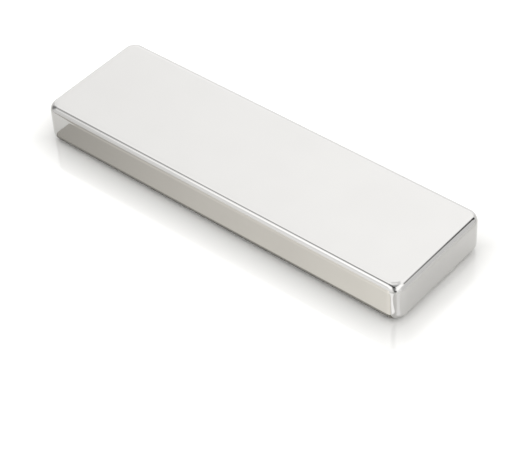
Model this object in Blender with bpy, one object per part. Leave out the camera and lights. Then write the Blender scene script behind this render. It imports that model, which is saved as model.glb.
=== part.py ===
"""Block magnet: a nickel-plated sintered magnet, 50 x 15 x 5 mm, with tumbled edges.

It is one solid. It lies flat on one pole face, with its length along X, its width along Y and
its thickness along Z. The origin is the middle of the lower pole face, and units are metres.
"""

import math

import bmesh
import bpy

# Overall size of the plated block
LENGTH = 0.050
WIDTH = 0.015
THICKNESS = 0.005

# Rounding left by tumbling, all round the rim of both pole faces
EDGE_RADIUS = 0.0010

# Corners of the flat pole face; the rim is rounded outside them
POLE_CORNER_RADIUS = 0.0005

# Facets in a quarter turn, round a corner in plan and over an edge in section
CORNER_STEPS = 12
EDGE_STEPS = 10

# Bright nickel plating
NICKEL_COLOUR = (0.64, 0.63, 0.61)
NICKEL_ROUGHNESS = 0.10


def clear_scene():
    """Removes every object that the scene holds."""
    for obj in list(bpy.data.objects):
        bpy.data.objects.remove(obj, do_unlink=True)


def rounded_rectangle(length, width, radius):
    """The points of a rounded rectangle round the origin, counter-clockwise from above."""
    points = []
    for quarter in range(4):
        side_x = 1 if quarter in (0, 3) else -1
        side_y = 1 if quarter in (0, 1) else -1
        centre_x = side_x * (length / 2 - radius)
        centre_y = side_y * (width / 2 - radius)
        for step in range(CORNER_STEPS + 1):
            angle = math.pi / 2 * (quarter + step / CORNER_STEPS)
            points.append((centre_x + radius * math.cos(angle), centre_y + radius * math.sin(angle)))
    return points


def rim_section():
    """(overhang, height) up the side of the block, from the lower pole face to the upper one.

    The overhang is how far the section lies outside the flat pole face. It is a quarter turn
    at each end, and the straight side wall joins the two.
    """
    section = []
    for step in range(EDGE_STEPS + 1):
        angle = math.pi / 2 * step / EDGE_STEPS
        section.append((EDGE_RADIUS * math.sin(angle), EDGE_RADIUS * (1 - math.cos(angle))))
    upper = [(overhang, THICKNESS - height) for overhang, height in reversed(section)]
    return section + upper


def block_mesh():
    """The block as a stack of rounded rectangles, with a flat pole face at each end."""
    mesh = bmesh.new()
    pole_length = LENGTH - 2 * EDGE_RADIUS
    pole_width = WIDTH - 2 * EDGE_RADIUS
    rings = []
    for overhang, height in rim_section():
        outline = rounded_rectangle(
            pole_length + 2 * overhang,
            pole_width + 2 * overhang,
            POLE_CORNER_RADIUS + overhang,
        )
        rings.append([mesh.verts.new((x, y, height)) for x, y in outline])

    for lower, upper in zip(rings, rings[1:]):
        for here in range(len(lower)):
            ahead = (here + 1) % len(lower)
            mesh.faces.new((lower[here], lower[ahead], upper[ahead], upper[here]))

    mesh.faces.new(list(reversed(rings[0])))
    mesh.faces.new(rings[-1])
    return mesh


def nickel_material():
    """Bright nickel plating, as a metallic surface with a little blur."""
    material = bpy.data.materials.new("nickel_plating")
    material.use_nodes = True
    shader = material.node_tree.nodes["Principled BSDF"]
    shader.inputs["Base Color"].default_value = (*NICKEL_COLOUR, 1.0)
    shader.inputs["Metallic"].default_value = 1.0
    shader.inputs["Roughness"].default_value = NICKEL_ROUGHNESS
    material.diffuse_color = (*NICKEL_COLOUR, 1.0)
    return material


def add_block_magnet():
    """The magnet, in the scene under its own name."""
    shape = block_mesh()
    mesh = bpy.data.meshes.new("block_magnet")
    shape.to_mesh(mesh)
    shape.free()
    mesh.materials.append(nickel_material())
    mesh.shade_smooth()
    mesh.set_sharp_from_angle(angle=math.radians(30))
    magnet = bpy.data.objects.new("block_magnet", mesh)
    bpy.context.scene.collection.objects.link(magnet)
    return magnet


def main():
    clear_scene()
    add_block_magnet()


main()
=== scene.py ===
"""Looks of the block magnet: bright nickel plating over a tumbled block, on a pale glossy floor.

The CAD node is replaced by a finer mesh of the same block, with exact normals, so that the plating
mirrors the studio cleanly. Lengths are metres, in the frame of the CAD model.
"""

import math

import bmesh
import bpy
from mathutils import Matrix, Vector


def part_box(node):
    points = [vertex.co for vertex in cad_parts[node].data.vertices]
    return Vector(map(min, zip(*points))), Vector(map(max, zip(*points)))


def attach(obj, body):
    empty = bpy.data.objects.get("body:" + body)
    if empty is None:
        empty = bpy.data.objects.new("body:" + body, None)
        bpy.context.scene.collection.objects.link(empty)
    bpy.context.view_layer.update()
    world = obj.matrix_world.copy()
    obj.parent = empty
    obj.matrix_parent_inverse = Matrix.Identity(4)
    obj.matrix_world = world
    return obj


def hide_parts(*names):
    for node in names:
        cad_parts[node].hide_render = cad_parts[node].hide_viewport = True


# The block's form, as in the CAD model
EDGE_RADIUS = 0.0010
POLE_CORNER_RADIUS = 0.0005
CORNER_STEPS = 28
EDGE_STEPS = 20

# The camera at the photograph's viewing angle. The focal length is in pixels of the frame's width.
FRAME_WIDTH = 531
FOCAL_PIXELS = 2003.96
SENSOR_WIDTH = 36.0
VIEW_AZIMUTH = math.radians(41.846)
VIEW_ELEVATION = math.radians(43.423)
VIEW_ROLL = math.radians(-3.344)
VIEW_DISTANCE = 0.217008
VIEW_TARGET = Vector((0.005596, -0.005448, 0.0))
CLIP_START = 0.005
CLIP_END = 10.0

# Nickel plating. Noise scales are per metre.
NICKEL_COLOUR = (0.637, 0.630, 0.618)
NICKEL_ROUGHNESS = 0.09
# Smudges: noise scale, detail and roughness, then how much they darken and roughen the plating
SMUDGE_NOISE = (130.0, 4.0, 0.6)
SMUDGE_TINT_RANGE = (0.35, 0.7)
SMUDGE_TINT = 0.985
SMUDGE_GLOSS_RANGE = (0.3, 0.75)
SMUDGE_GLOSS = (0.9, 1.35)
# Fine grain in the roughness
GRAIN_NOISE = (5200.0, 2.0, 0.5)
GRAIN_RANGE = (0.3, 0.7)
GRAIN_DEPTH = 0.008
# Orange peel in the bump
PEEL_NOISE = (900.0, 2.0, 0.5)
PEEL_STRENGTH = 0.25
PEEL_DISTANCE = 0.000004

# Floor
FLOOR_HALF_SIZE = 1.5
FLOOR_COLOUR = (0.875, 0.870, 0.850)
FLOOR_ROUGHNESS = 0.06
FLOOR_IOR = 1.9
# To the camera the floor glows a little, which keeps its shadows as pale as in the photograph
# This glow is painted light that no lamp gives, seen by the camera alone
FLOOR_PAINTED_GLOW = 0.24
# The glow starts at the block's outline, and is full this far from it, so the floor beside the
# block keeps a painted shade
GLOW_RISE = 0.004

# Stage pieces on the floor that only the block's own mirror shows, as painted reflections.
# A card with a metal's gloss lies in front, and its painted tone gives the block's front face its
# grey.
STAGE_LIFT = 0.00002
CARD_CORNERS = (
    (-0.0239, -0.0066),
    (-0.02485, -0.0083),
    (-0.02485, -0.0123),
    (-0.0265, -0.0140),
    (-0.0500, -0.0390),
    (0.0229, -0.0390),
    (0.0229, -0.0135),
    (0.0235, -0.0118),
    (0.0241, -0.0108),
    (0.0241, -0.0066),
)
CARD_COLOUR = (0.652, 0.632, 0.586)
CARD_ROUGHNESS = 0.1
# How the card's painted tone changes, each as a range of x or y and the values at its two ends:
# painted shade makes it dark along the block, and painted light makes it rise towards the right,
# and towards the front but for its left end
CARD_CONTACT_SHADE = (-0.0075, -0.0082, 0.42, 1.0)
CARD_RISE_RIGHT = (0.007, 0.030, 0.95, 1.17)
CARD_RISE_FRONT = (-0.0122, -0.0198, 0.0, 0.52)
CARD_RISE_PART = (-0.030, 0.002, 0.0, 1.0)

# Strips by name, brightness and corners, seen only in the block's mirror as painted highlights and
# a
# painted dark reflection: a light one at the card's right end, a weak one on the right of the near
# corner, and a dark one farther out
PAINTED_STRIPS = (
    (
        "painted_highlight_strip",
        1.35,
        (
            (0.0243, -0.0084),
            (0.0243, -0.0110),
            (0.02375, -0.0117),
            (0.02305, -0.0135),
            (0.02305, -0.0145),
            (0.0268, -0.0145),
            (0.0268, -0.0112),
            (0.0253, -0.0106),
            (0.0253, -0.0084),
        ),
    ),
    (
        "painted_side_highlight",
        1.03,
        ((0.0251, -0.0076), (0.0300, -0.0112), (0.0304, -0.0088), (0.0256, -0.0069)),
    ),
    (
        "painted_dark_reflection",
        0.0,
        ((0.0424, -0.0236), (0.0375, -0.0276), (0.0725, -0.0835), (0.0906, -0.0686)),
    ),
)

# Studio: brightness by direction, where the floor is about 1.
# A patch is (azimuth, angle from overhead) of its two ends, the angle at which it starts to fade,
# the angle at which it has faded out, and its brightness. Azimuth 0 is +X and 90 is +Y.
SURROUND_LEVEL = 1.4
CAMERA_LEVEL = 1.0
STUDIO_PATCHES = (
    # Grey walls on the right, behind and on the left
    ((14, 80), (70, 94), 14, 32, 0.84),
    ((100, 88), (152, 86), 7, 18, 1.16),
    ((166, 60), (172, 84), 12, 36, 1.18),
    # Ceiling
    ((15, 14), (105, 12), 14, 23, 0.97),
    ((-170, 5), (100, 4), 2, 14, 1.35),
    ((0, 23), (-95, 20), 2, 13, 0.60),
    # Low walls on the left and in front
    ((-175, 84), (-128, 77), 11, 26, 0.80),
    ((-109, 84), (-84, 86), 7, 18, 1.20),
    ((-122, 73), (-100, 74), 1, 8, 1.10),
    # Soft boxes on the right and in front
    ((-22, 78), (-17, 96), 5, 18, 1.12),
    ((-30, 60), (10, 40), 8, 18, 1.60),
    ((-119, 54), (-94, 55), 4, 15, 1.68),
    # Dark gaps between the lights
    ((-155, 56), (-164, 80), 5, 21, 0.26),
    ((-146, 41), (-134, 34), 1, 9, 0.40),
    ((-124, 32), (-74, 36), 2, 13, 0.08),
    ((-62, 30), (-40, 27), 1, 10, 0.35),
    ((-66, 40), (-62, 51), 6, 16, 0.00),
    ((-61, 56), (-58, 78), 2, 20, 0.26),
    ((-50, 91), (-50, 97), 7, 13, 0.00),
    ((51.5, 59), (60, 71), 4, 13, 0.00),
)


class Nodes:
    """Short calls for making shader nodes and linking them."""

    def __init__(self, tree):
        self.tree = tree
        tree.nodes.clear()

    def add(self, kind, **settings):
        node = self.tree.nodes.new(kind)
        for name, value in settings.items():
            setattr(node, name, value)
        return node

    def put(self, value, socket):
        """Links a socket to the input, or sets the input to a plain value."""
        if isinstance(value, bpy.types.NodeSocket):
            self.tree.links.new(value, socket)
        else:
            socket.default_value = value

    def math(self, operation, *values):
        node = self.add("ShaderNodeMath", operation=operation)
        for value, socket in zip(values, node.inputs):
            self.put(value, socket)
        return node.outputs[0]

    def dot(self, vector, fixed):
        node = self.add("ShaderNodeVectorMath", operation="DOT_PRODUCT")
        self.put(vector, node.inputs[0])
        self.put(tuple(fixed), node.inputs[1])
        return node.outputs["Value"]

    def remap(self, value, low, high, to_low=0.0, to_high=1.0, smooth=True):
        node = self.add("ShaderNodeMapRange")
        node.interpolation_type = "SMOOTHSTEP" if smooth else "LINEAR"
        for name, number in (
            ("Value", value),
            ("From Min", low),
            ("From Max", high),
            ("To Min", to_low),
            ("To Max", to_high),
        ):
            self.put(number, node.inputs[name])
        return node.outputs["Result"]

    def mix(self, factor, first, second):
        node = self.add("ShaderNodeMix", data_type="FLOAT")
        self.put(factor, node.inputs[0])
        self.put(first, node.inputs[2])
        self.put(second, node.inputs[3])
        return node.outputs[0]

    def mix_colours(self, factor, first, second):
        node = self.add("ShaderNodeMix", data_type="RGBA")
        self.put(factor, node.inputs[0])
        self.put((*first, 1.0), node.inputs[6])
        self.put((*second, 1.0), node.inputs[7])
        return node.outputs[2]

    def noise(self, vector, scale, detail, roughness):
        node = self.add("ShaderNodeTexNoise", noise_dimensions="3D")
        self.put(vector, node.inputs["Vector"])
        node.inputs["Scale"].default_value = scale
        node.inputs["Detail"].default_value = detail
        node.inputs["Roughness"].default_value = roughness
        return node.outputs["Fac"]

    def place(self):
        """The point's place on its object, as one vector."""
        return self.add("ShaderNodeTexCoord").outputs["Object"]

    def place_parts(self):
        """The point's place on its object, as x, y and z."""
        split = self.add("ShaderNodeSeparateXYZ")
        self.put(self.place(), split.inputs[0])
        return split.outputs

    def seen_by_camera(self):
        return self.add("ShaderNodeLightPath").outputs["Is Camera Ray"]

    def show(self, surface):
        output = self.add("ShaderNodeOutputMaterial")
        self.put(surface, output.inputs["Surface"])

    def show_above(self, surface):
        """Shows the surface from above, and nothing from below."""
        blend = self.add("ShaderNodeMixShader")
        self.put(self.add("ShaderNodeNewGeometry").outputs["Backfacing"], blend.inputs[0])
        self.put(surface, blend.inputs[1])
        self.put(self.add("ShaderNodeBsdfTransparent").outputs[0], blend.inputs[2])
        self.show(blend.outputs[0])


def new_material(name):
    """An empty material, and the calls for filling it."""
    material = bpy.data.materials.new(name)
    material.use_nodes = True
    return material, Nodes(material.node_tree)


def rounded_rectangle(length, width, radius):
    """Points and outward directions round a rectangle with rounded corners, anticlockwise."""
    points = []
    directions = []
    corners = ((1, 1), (-1, 1), (-1, -1), (1, -1))
    for quarter, (side_x, side_y) in enumerate(corners):
        centre_x = side_x * (length / 2 - radius)
        centre_y = side_y * (width / 2 - radius)
        for step in range(CORNER_STEPS + 1):
            angle = math.pi / 2 * (quarter + step / CORNER_STEPS)
            outward = (math.cos(angle), math.sin(angle))
            points.append((centre_x + radius * outward[0], centre_y + radius * outward[1]))
            directions.append(outward)
    return points, directions


def block_rings(low, high):
    """The block as rings of (points, normals) from the lower pole face to the upper one."""
    length = high.x - low.x
    width = high.y - low.y
    middle_x = (low.x + high.x) / 2
    middle_y = (low.y + high.y) / 2
    rings = []
    for side, level in ((-1, low.z + EDGE_RADIUS), (1, high.z - EDGE_RADIUS)):
        for step in range(EDGE_STEPS + 1):
            share = step / EDGE_STEPS
            lift = math.pi / 2 * (1 - share if side < 0 else share)
            out = EDGE_RADIUS * math.cos(lift)
            height = level + side * EDGE_RADIUS * math.sin(lift)
            inset = EDGE_RADIUS - out
            outline, directions = rounded_rectangle(
                length - 2 * inset, width - 2 * inset, POLE_CORNER_RADIUS + out
            )
            points = [(x + middle_x, y + middle_y, height) for x, y in outline]
            normals = [
                (dx * math.cos(lift), dy * math.cos(lift), side * math.sin(lift))
                for dx, dy in directions
            ]
            rings.append((points, normals))
    return rings


def block_mesh(low, high):
    mesh = bpy.data.meshes.new("plated_block")
    form = bmesh.new()
    normals = []
    rows = []
    for points, ring_normals in block_rings(low, high):
        rows.append([form.verts.new(point) for point in points])
        normals.extend(ring_normals)
    for lower, upper in zip(rows, rows[1:]):
        count = len(lower)
        for i in range(count):
            j = (i + 1) % count
            form.faces.new((lower[i], lower[j], upper[j], upper[i]))
    form.faces.new(reversed(rows[0]))
    form.faces.new(rows[-1])
    form.to_mesh(mesh)
    form.free()
    mesh.polygons.foreach_set("use_smooth", [True] * len(mesh.polygons))
    mesh.normals_split_custom_set_from_vertices(normals)
    return mesh


def nickel_material():
    """Bright nickel plating with a slight orange peel and faint smudges that change its gloss."""
    material, nodes = new_material("bright_nickel")
    place = nodes.place()
    shader = nodes.add("ShaderNodeBsdfPrincipled")
    shader.inputs["Metallic"].default_value = 1.0

    smudges = nodes.noise(place, *SMUDGE_NOISE)
    smudged = tuple(part * SMUDGE_TINT for part in NICKEL_COLOUR)
    tint = nodes.mix_colours(nodes.remap(smudges, *SMUDGE_TINT_RANGE), NICKEL_COLOUR, smudged)
    nodes.put(tint, shader.inputs["Base Color"])

    gloss_ends = (NICKEL_ROUGHNESS * part for part in SMUDGE_GLOSS)
    gloss = nodes.remap(smudges, *SMUDGE_GLOSS_RANGE, *gloss_ends)
    grain = nodes.noise(place, *GRAIN_NOISE)
    fine = nodes.remap(grain, *GRAIN_RANGE, -GRAIN_DEPTH, GRAIN_DEPTH)
    nodes.put(nodes.math("ADD", gloss, fine), shader.inputs["Roughness"])

    bump = nodes.add("ShaderNodeBump")
    bump.inputs["Strength"].default_value = PEEL_STRENGTH
    bump.inputs["Distance"].default_value = PEEL_DISTANCE
    nodes.put(nodes.noise(place, *PEEL_NOISE), bump.inputs["Height"])
    nodes.put(bump.outputs[0], shader.inputs["Normal"])
    nodes.show(shader.outputs[0])
    return material


def add_magnet():
    low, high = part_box("block_magnet")
    magnet = bpy.data.objects.new("plated_block", block_mesh(low, high))
    bpy.context.scene.collection.objects.link(magnet)
    magnet.data.materials.append(nickel_material())
    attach(magnet, "root")
    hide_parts("block_magnet")


def distance_from_block(nodes):
    """How far a point on the floor is from the block's outline, 0 under the block."""
    low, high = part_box("block_magnet")
    parts = nodes.place_parts()
    squares = []
    for axis in range(2):
        middle = (low[axis] + high[axis]) / 2
        half = (high[axis] - low[axis]) / 2
        off = nodes.math("ABSOLUTE", nodes.math("SUBTRACT", parts[axis], middle))
        gap = nodes.math("MAXIMUM", nodes.math("SUBTRACT", off, half), 0.0)
        squares.append(nodes.math("MULTIPLY", gap, gap))
    return nodes.math("SQRT", nodes.math("ADD", *squares))


def floor_material():
    material, nodes = new_material("pale_floor")
    shader = nodes.add("ShaderNodeBsdfPrincipled")
    shader.inputs["Base Color"].default_value = (*FLOOR_COLOUR, 1.0)
    shader.inputs["Roughness"].default_value = FLOOR_ROUGHNESS
    shader.inputs["IOR"].default_value = FLOOR_IOR
    shader.inputs["Emission Color"].default_value = (1.0, 1.0, 1.0, 1.0)
    # Painted light: the floor glows for the camera alone but not beside the block, where this
    # leaves a painted shade
    away = distance_from_block(nodes)
    painted_glow = nodes.remap(away, 0.0, GLOW_RISE, 0.0, FLOOR_PAINTED_GLOW, smooth=False)
    painted_glow = nodes.math("MULTIPLY", nodes.seen_by_camera(), painted_glow)
    nodes.put(painted_glow, shader.inputs["Emission Strength"])
    nodes.show(shader.outputs[0])
    return material


def add_flat(name, corners, lift, material):
    """A flat piece of the stage, at a small height above the floor."""
    low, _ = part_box("block_magnet")
    mesh = bpy.data.meshes.new(name)
    points = [(x, y, low.z + lift) for x, y in corners]
    mesh.from_pydata(points, [], [range(len(points))])
    mesh.materials.append(material)
    piece = bpy.data.objects.new(name, mesh)
    bpy.context.scene.collection.objects.link(piece)
    return piece


def add_floor():
    half = FLOOR_HALF_SIZE
    corners = ((-half, -half), (half, -half), (half, half), (-half, half))
    add_flat("floor", corners, 0.0, floor_material())


def painted_card_material():
    """A metal's gloss on the card's upper side, with painted shade along the block and painted
    light towards the right and the front.
    """
    material, nodes = new_material("card")
    x, y, _ = nodes.place_parts()
    # Painted shade and painted light in the card's tone, which the block's front mirrors
    rise = nodes.math(
        "MULTIPLY", nodes.remap(y, *CARD_RISE_FRONT), nodes.remap(x, *CARD_RISE_PART)
    )
    tone = nodes.math(
        "MULTIPLY", nodes.remap(x, *CARD_RISE_RIGHT), nodes.math("ADD", rise, 1.0)
    )
    tone = nodes.math("MULTIPLY", tone, nodes.remap(y, *CARD_CONTACT_SHADE))
    colour = nodes.add("ShaderNodeVectorMath", operation="SCALE")
    nodes.put(CARD_COLOUR, colour.inputs[0])
    nodes.put(tone, colour.inputs["Scale"])
    painted_card_gloss = nodes.add("ShaderNodeBsdfAnisotropic")
    painted_card_gloss.inputs["Roughness"].default_value = CARD_ROUGHNESS
    nodes.put(colour.outputs[0], painted_card_gloss.inputs["Color"])
    nodes.show_above(painted_card_gloss.outputs[0])
    return material


def painted_strip_material(name, level):
    # Painted light: a glow that lights nothing and shows only in the block's mirror as a painted
    # highlight, or at level 0 as a painted dark reflection
    material, nodes = new_material(name)
    painted_glow = nodes.add("ShaderNodeEmission")
    painted_glow.inputs["Strength"].default_value = level
    nodes.show_above(painted_glow.outputs[0])
    return material


def add_painted_reflection_pieces():
    """Paints shade and highlights on the block's front and near corner: they mirror these, and the
    card the studio.
    """
    pieces = [add_flat("card", CARD_CORNERS, STAGE_LIFT, painted_card_material())]
    for name, level, corners in PAINTED_STRIPS:
        pieces.append(add_flat(name, corners, STAGE_LIFT, painted_strip_material(name, level)))
    # They cast no shadow, light nothing and the camera can't see them: they show only as painted
    # reflections in the block
    for piece in pieces:
        piece.visible_camera = False
        piece.visible_diffuse = False
        piece.visible_transmission = False
        piece.visible_shadow = False


def direction(azimuth, from_overhead):
    azimuth = math.radians(azimuth)
    tilt = math.radians(from_overhead)
    return Vector(
        (math.sin(tilt) * math.cos(azimuth), math.sin(tilt) * math.sin(azimuth), math.cos(tilt))
    )


def patch_share(nodes, towards, first, second, full, gone):
    """How much of a patch shows in a direction: 1 near the line between its ends, fading to 0."""
    start = direction(*first)
    end = direction(*second)
    across = start.cross(end).normalized()
    middle = (start + end).normalized()
    half = start.angle(end) / 2
    full = math.radians(full)
    gone = math.radians(gone)
    aside = nodes.math("ABSOLUTE", nodes.dot(towards, across))
    beside = nodes.remap(aside, math.sin(gone), math.sin(full))
    along = nodes.dot(towards, middle)
    within = nodes.remap(along, math.cos(half + gone), math.cos(half + full))
    return nodes.math("MULTIPLY", beside, within)


def add_studio():
    """Soft studio light all round, as brightness by direction. The camera sees plain white."""
    world = bpy.data.worlds.new("studio")
    bpy.context.scene.world = world
    world.use_nodes = True
    nodes = Nodes(world.node_tree)
    towards = nodes.add("ShaderNodeTexCoord").outputs["Generated"]
    level = SURROUND_LEVEL
    for *form, brightness in STUDIO_PATCHES:
        level = nodes.mix(patch_share(nodes, towards, *form), level, brightness)
    level = nodes.mix(nodes.seen_by_camera(), level, CAMERA_LEVEL)
    light = nodes.add("ShaderNodeBackground")
    output = nodes.add("ShaderNodeOutputWorld")
    nodes.put(level, light.inputs["Color"])
    nodes.put(light.outputs[0], output.inputs["Surface"])
    bpy.context.scene.view_settings.view_transform = "Standard"


def add_camera():
    level_part = math.cos(VIEW_ELEVATION)
    back = Vector(
        (
            math.sin(VIEW_AZIMUTH) * level_part,
            -math.cos(VIEW_AZIMUTH) * level_part,
            math.sin(VIEW_ELEVATION),
        )
    )
    level_right = Vector((math.cos(VIEW_AZIMUTH), math.sin(VIEW_AZIMUTH), 0.0))
    level_up = back.cross(level_right)
    right = math.cos(VIEW_ROLL) * level_right + math.sin(VIEW_ROLL) * level_up
    up = back.cross(right)
    place = VIEW_TARGET + back * VIEW_DISTANCE
    camera = bpy.data.objects.new("camera", bpy.data.cameras.new("camera"))
    bpy.context.scene.collection.objects.link(camera)
    camera.matrix_world = Matrix(
        [[right[i], up[i], back[i], place[i]] for i in range(3)] + [[0, 0, 0, 1]]
    )
    camera.data.sensor_width = SENSOR_WIDTH
    camera.data.lens = FOCAL_PIXELS * SENSOR_WIDTH / FRAME_WIDTH
    camera.data.clip_start = CLIP_START
    camera.data.clip_end = CLIP_END
    bpy.context.scene.camera = camera


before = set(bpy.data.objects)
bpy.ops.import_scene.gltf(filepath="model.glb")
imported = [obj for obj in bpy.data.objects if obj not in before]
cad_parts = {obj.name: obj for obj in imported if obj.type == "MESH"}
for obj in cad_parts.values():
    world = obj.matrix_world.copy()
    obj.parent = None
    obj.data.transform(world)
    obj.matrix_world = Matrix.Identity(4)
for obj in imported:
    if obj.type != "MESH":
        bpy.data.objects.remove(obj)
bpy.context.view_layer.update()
add_camera()
add_magnet()
add_floor()
add_painted_reflection_pieces()
add_studio()
